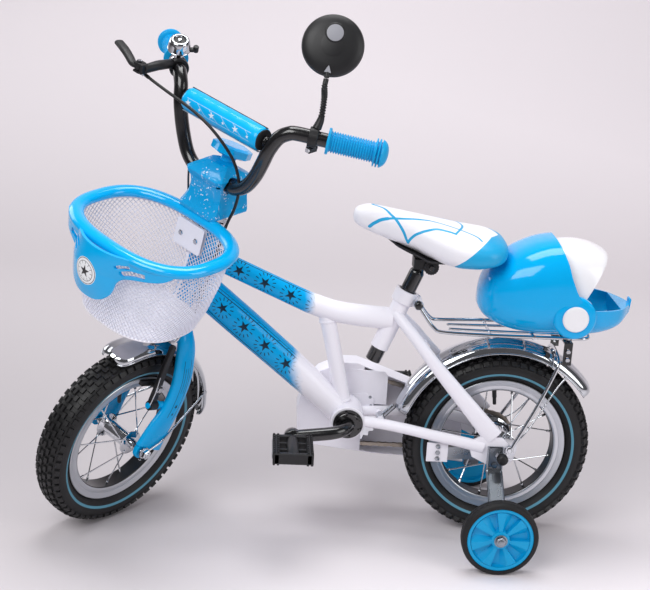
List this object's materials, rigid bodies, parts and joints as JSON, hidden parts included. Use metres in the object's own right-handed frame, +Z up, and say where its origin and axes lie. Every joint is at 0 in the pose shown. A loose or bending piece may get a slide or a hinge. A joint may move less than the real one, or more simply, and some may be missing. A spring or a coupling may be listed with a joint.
{
  "type": "kids bmx bike",
  "caption": "Small children's bike with stabilisers, basket, helmet-shaped rear box, hand brake and coaster hub, standing with its bars turned.",
  "frame": {"origin": "on the floor under the rear axle, at the middle of the rear tyre's tread", "axes": "-X points forwards, -Y to the bike's left side, +Z up; the front wheel and bars are stored turned to the left"},
  "size_m": [0.9479, 0.4146, 0.8565],
  "materials": {
    "frame_paint": "gloss blue paint fading to white",
    "white_plastic": "satin white",
    "blue_plastic": "gloss blue",
    "cover_plastic": "satin blue",
    "grip_rubber": "blue soft grip",
    "pad_fabric": "blue padded sleeve",
    "saddle_cover": "white and blue padded cover",
    "black_plastic": "satin black",
    "black_paint": "gloss black",
    "cable_black": "black cable sleeve",
    "tyre_rubber": "black tread",
    "chrome_steel": "polished",
    "plain_steel": "satin",
    "rim_alloy": "satin",
    "mirror_glass": "reflecting"
  },
  "bodies": {
    "bike_frame": {"frame": "frame_paint", "headset_lower": "plain_steel", "headset_upper": "chrome_steel", "seat_clamp": "white_plastic", "bb_cup_left": "black_paint", "chain": "plain_steel", "chain_case": "white_plastic", "rear_axle": "chrome_steel", "axle_cap_left": "black_plastic", "coaster_arm": "plain_steel", "coaster_clip": "white_plastic", "stabiliser_left_bracket": "chrome_steel", "stabiliser_right_bracket": "chrome_steel", "rear_mudguard": "chrome_steel", "carrier_rack": "chrome_steel", "carrier_bracket": "black_paint", "carrier_stay": "chrome_steel", "box_shell": "blue_plastic"},
    "steered": {"fork": "frame_paint", "stem": "chrome_steel", "stem_cover": "cover_plastic", "handlebar": "black_paint", "handlebar_pad": "pad_fabric", "grip_left": "grip_rubber", "grip_right": "grip_rubber", "brake_perch": "black_plastic", "brake_cable": "cable_black", "brake_noodle": "chrome_steel", "bell": "chrome_steel", "mirror_arm": "black_plastic", "front_axle": "chrome_steel", "front_mudguard": "chrome_steel", "basket": "white_plastic", "basket_rim": "blue_plastic", "basket_bracket": "black_paint"},
    "front_wheel": {"front_hub": "plain_steel", "front_rim": "rim_alloy", "front_tyre": "tyre_rubber"},
    "rear_wheel": {"rear_hub": "plain_steel", "rear_rim": "rim_alloy", "rear_tyre": "tyre_rubber"},
    "sprocket": {"rear_sprocket": "plain_steel"},
    "crankset": {"crank": "black_paint", "chainring": "chrome_steel"},
    "left_pedal": {"pedal_left": "black_plastic"},
    "right_pedal": {"pedal_right": "black_plastic"},
    "left_stabiliser_wheel": {"stabiliser_left_wheel": "blue_plastic", "stabiliser_left_tyre": "tyre_rubber"},
    "right_stabiliser_wheel": {"stabiliser_right_wheel": "blue_plastic", "stabiliser_right_tyre": "tyre_rubber"},
    "seat": {"seat_post": "black_paint", "saddle": "saddle_cover", "saddle_base": "black_plastic"},
    "hand_lever": {"brake_lever": "black_plastic"},
    "left_brake": {"brake_arm_left": "black_plastic"},
    "right_brake": {"brake_arm_right": "black_plastic"},
    "visor": {"box_visor": "white_plastic"},
    "bell_striker": {"bell_lever": "black_plastic"},
    "mirror": {"mirror_housing": "black_plastic", "mirror_glass": "mirror_glass"}
  },
  "joints": [
    {"name": "steering", "type": "hinge", "parent": "bike_frame", "child": "steered", "pos_m": [-0.53523, 0, 0.36374], "axis": [0.3277, 0, 0.9448], "range_deg": [-109.2, 10.8]},
    {"name": "front_wheel_spin", "type": "hinge", "parent": "steered", "child": "front_wheel", "pos_m": [-0.62709, -0.02097, 0.15414], "axis": [0.7152, -0.6534, -0.2481], "continuous": true},
    {"name": "rear_wheel_spin", "type": "hinge", "parent": "bike_frame", "child": "rear_wheel", "pos_m": [0, 0, 0.156], "axis": [0, -1, 0], "continuous": true},
    {"name": "crank_spin", "type": "hinge", "parent": "bike_frame", "child": "crankset", "pos_m": [-0.252, 0, 0.191], "axis": [0, -1, 0], "continuous": true},
    {"name": "sprocket_spin", "type": "hinge", "parent": "bike_frame", "child": "sprocket", "pos_m": [0, 0, 0.156], "axis": [0, -1, 0], "continuous": true},
    {"name": "left_pedal_spin", "type": "hinge", "parent": "crankset", "child": "left_pedal", "pos_m": [-0.34333, -0.126, 0.17995], "axis": [0, 1, 0], "continuous": true},
    {"name": "right_pedal_spin", "type": "hinge", "parent": "crankset", "child": "right_pedal", "pos_m": [-0.16067, 0.142, 0.20205], "axis": [0, 1, 0], "continuous": true},
    {"name": "left_stabiliser_spin", "type": "hinge", "parent": "bike_frame", "child": "left_stabiliser_wheel", "pos_m": [-0.011, -0.171, 0.0615], "axis": [0, -1, 0], "continuous": true},
    {"name": "right_stabiliser_spin", "type": "hinge", "parent": "bike_frame", "child": "right_stabiliser_wheel", "pos_m": [-0.011, 0.171, 0.0615], "axis": [0, -1, 0], "continuous": true},
    {"name": "saddle_height", "type": "slide", "parent": "bike_frame", "child": "seat", "axis": [0.3779, 0, 0.9258], "range_m": [0, 0.04]},
    {"name": "lever_squeeze", "type": "hinge", "parent": "steered", "child": "hand_lever", "pos_m": [-0.60516, -0.00885, 0.75383], "axis": [-0.1073, 0.2481, -0.9628], "range_deg": [0, 15], "stiffness_Nm_per_rad": 2, "springref_deg": -11.46},
    {"name": "left_brake_swing", "type": "hinge", "parent": "steered", "child": "left_brake", "pos_m": [-0.57089, -0.05234, 0.2174], "axis": [-0.6237, -0.7568, 0.1955], "range_deg": [0, 2.85]},
    {"name": "right_brake_swing", "type": "hinge", "parent": "steered", "child": "right_brake", "pos_m": [-0.63526, 0.00647, 0.23972], "axis": [0.6237, 0.7568, -0.1955], "range_deg": [0, 2.85]},
    {"name": "visor_tilt", "type": "hinge", "parent": "bike_frame", "child": "visor", "pos_m": [0.094, 0, 0.4], "axis": [0, 1, 0], "range_deg": [-30, 35]},
    {"name": "bell_ring", "type": "hinge", "parent": "steered", "child": "bell_striker", "pos_m": [-0.54831, 0.05196, 0.77357], "axis": [0.0935, -0.5261, 0.8453], "range_deg": [0, 20], "stiffness_Nm_per_rad": 0.05, "springref_deg": -17.19},
    {"name": "mirror_tilt", "type": "hinge", "parent": "steered", "child": "mirror", "pos_m": [-0.32339, -0.14237, 0.7681], "axis": [0.9863, -0.0952, -0.1345], "range_deg": [-10, 10]}
  ],
  "couplings": [
    {"joint": "sprocket_spin", "follows": "crank_spin", "ratio": 2},
    {"joint": "left_brake_swing", "follows": "lever_squeeze", "ratio": 0.19},
    {"joint": "right_brake_swing", "follows": "lever_squeeze", "ratio": 0.19}
  ]
}
